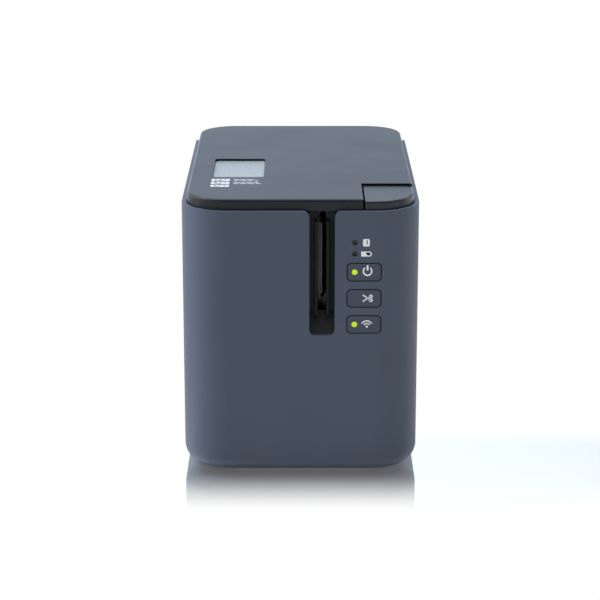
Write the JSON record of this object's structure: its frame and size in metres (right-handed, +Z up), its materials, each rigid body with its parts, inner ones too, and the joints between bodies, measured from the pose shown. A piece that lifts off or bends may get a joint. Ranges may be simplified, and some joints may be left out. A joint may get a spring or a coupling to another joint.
{
  "type": "label maker",
  "caption": "Desktop label printer with a hinged top cover, a corner release button, a vertical tape exit slot, three front keys and a tape cassette with feed rollers and cutter inside.",
  "frame": {"origin": "centre of the bounding box at the underside of the feet", "axes": "+X to the right seen from the front, -Y out of the front with the tape exit, +Z up"},
  "size_m": [0.118, 0.192, 0.1424],
  "materials": {
    "housing_plastic": "fine matte texture",
    "cover_plastic": "smooth satin",
    "button_plastic": "smooth satin",
    "black_plastic": "matte",
    "inner_plastic": "matte",
    "key_plastic": "satin",
    "white_plastic": "satin",
    "cassette_plastic": "satin",
    "label_paper": "smooth",
    "tape_film": "gloss",
    "ribbon_film": "gloss",
    "pane": "clear, slightly frosted",
    "rubber": "matte",
    "steel": "brushed",
    "aluminium": "satin",
    "brass": "machined",
    "circuit": "solder mask",
    "ceramic": "smooth",
    "lamp_green": "lit lens",
    "lamp_clear": "unlit lens",
    "cable_film": "satin"
  },
  "bodies": {
    "housing": {"main_housing": "housing_plastic", "base_plate": "inner_plastic", "rear_panel": "inner_plastic", "feet": "rubber", "base_screws": "steel", "slot_liner": "black_plastic", "inner_deck": "inner_plastic", "hinge_brackets": "steel", "hinge_pins": "steel", "support_frame": "steel", "gear_plate": "steel", "idler_post": "steel", "cassette_lower": "cassette_plastic", "cassette_upper": "cassette_plastic", "cassette_label": "label_paper", "tape_strip": "tape_film", "print_head": "ceramic", "head_heat_sink": "aluminium", "head_cable": "cable_film", "feed_motor": "steel", "holder_pin": "steel", "cutter_frame": "steel", "fixed_blade": "steel", "cutter_motor": "steel", "main_board": "circuit", "board_chips": "black_plastic", "usb_socket": "steel", "serial_socket": "black_plastic", "power_jack": "black_plastic", "radio_module": "steel", "panel_board": "circuit", "key_switches": "black_plastic", "status_lamps": "lamp_clear", "release_spring": "steel", "latch_mount": "steel"},
    "cover": {"top_cover": "cover_plastic", "cover_liner": "inner_plastic", "window_pane": "pane", "cover_hook": "steel"},
    "release": {"release_button": "button_plastic"},
    "latch": {"latch_lever": "black_plastic"},
    "power": {"power_key": "key_plastic", "power_lamp": "lamp_green"},
    "feed": {"feed_key": "key_plastic"},
    "radio": {"radio_key": "key_plastic", "radio_lamp": "lamp_green"},
    "holder": {"roller_holder": "white_plastic"},
    "platen": {"platen_roller": "rubber", "platen_shaft": "steel"},
    "pressure": {"pressure_roller": "rubber", "pressure_shaft": "steel"},
    "pinion": {"feed_pinion": "brass"},
    "idler": {"idler_gear": "white_plastic"},
    "takeup": {"ribbon_takeup": "ribbon_film", "ribbon_spindle": "white_plastic"},
    "supply": {"ribbon_supply": "ribbon_film"},
    "tape_reel": {"tape_roll": "tape_film"},
    "blade": {"moving_blade": "steel"},
    "cutter_drive": {"cutter_pinion": "brass"}
  },
  "joints": [
    {"name": "cover_hinge", "type": "hinge", "parent": "housing", "child": "cover", "pos_m": [0, 0.084, 0.1254], "axis": [-1, 0, 0], "range_deg": [0, 86]},
    {"name": "release_press", "type": "slide", "parent": "housing", "child": "release", "axis": [0, 0, -1], "range_m": [0, 0.0025], "stiffness_N_per_m": 500, "springref_m": -0.003, "deforming": ["release_spring"]},
    {"name": "latch_pivot", "type": "hinge", "parent": "housing", "child": "latch", "pos_m": [0.0446, -0.062, 0.1089], "axis": [1, 0, 0], "range_deg": [0, 17.1]},
    {"name": "power_press", "type": "slide", "parent": "housing", "child": "power", "axis": [0, 1, 0], "range_m": [0, 0.0008], "stiffness_N_per_m": 400, "springref_m": -0.002},
    {"name": "feed_press", "type": "slide", "parent": "housing", "child": "feed", "axis": [0, 1, 0], "range_m": [0, 0.0008], "stiffness_N_per_m": 400, "springref_m": -0.002},
    {"name": "radio_press", "type": "slide", "parent": "housing", "child": "radio", "axis": [0, 1, 0], "range_m": [0, 0.0008], "stiffness_N_per_m": 400, "springref_m": -0.002},
    {"name": "holder_swing", "type": "hinge", "parent": "housing", "child": "holder", "pos_m": [0.029, -0.027, 0.0859], "axis": [0, 0, 1], "range_deg": [0, 8]},
    {"name": "platen_spin", "type": "hinge", "parent": "holder", "child": "platen", "pos_m": [0.017, -0.05, 0.0859], "axis": [0, 0, 1], "continuous": true},
    {"name": "pressure_spin", "type": "hinge", "parent": "holder", "child": "pressure", "pos_m": [0.0155, -0.062, 0.0859], "axis": [0, 0, 1], "continuous": true},
    {"name": "idler_spin", "type": "hinge", "parent": "housing", "child": "idler", "pos_m": [-0.00171, -0.0392, 0.0839], "axis": [0, 0, 1], "continuous": true},
    {"name": "pinion_spin", "type": "hinge", "parent": "housing", "child": "pinion", "pos_m": [0.00163, -0.05811, 0.0839], "axis": [0, 0, 1], "continuous": true},
    {"name": "takeup_spin", "type": "hinge", "parent": "housing", "child": "takeup", "pos_m": [-0.02009, -0.05463, 0.0839], "axis": [0, 0, 1], "continuous": true},
    {"name": "supply_spin", "type": "hinge", "parent": "housing", "child": "supply", "pos_m": [-0.0345, -0.043, 0.0839], "axis": [0, 0, 1], "continuous": true},
    {"name": "reel_spin", "type": "hinge", "parent": "housing", "child": "tape_reel", "pos_m": [-0.0165, -0.013, 0.0839], "axis": [0, 0, 1], "continuous": true},
    {"name": "blade_swing", "type": "hinge", "parent": "housing", "child": "blade", "pos_m": [0.0146, -0.0754, 0.0789], "axis": [0, -1, 0], "range_deg": [0, 15]},
    {"name": "cutter_spin", "type": "hinge", "parent": "housing", "child": "cutter_drive", "pos_m": [0.03006, -0.0754, 0.06498], "axis": [0, -1, 0], "range_deg": [-50.5, 0]}
  ],
  "couplings": [
    {"joint": "holder_swing", "follows": "cover_hinge", "ratio": 0.093},
    {"joint": "latch_pivot", "follows": "release_press", "rad_per_m": 118.68},
    {"joint": "idler_spin", "follows": "reel_spin", "ratio": 1.75},
    {"joint": "platen_spin", "follows": "reel_spin", "ratio": -3.5},
    {"joint": "pressure_spin", "follows": "reel_spin", "ratio": -4.6667},
    {"joint": "pinion_spin", "follows": "reel_spin", "ratio": -5.25},
    {"joint": "takeup_spin", "follows": "reel_spin", "ratio": -2.625},
    {"joint": "supply_spin", "follows": "reel_spin", "ratio": -2.25},
    {"joint": "cutter_spin", "follows": "blade_swing", "ratio": -3.3333}
  ]
}
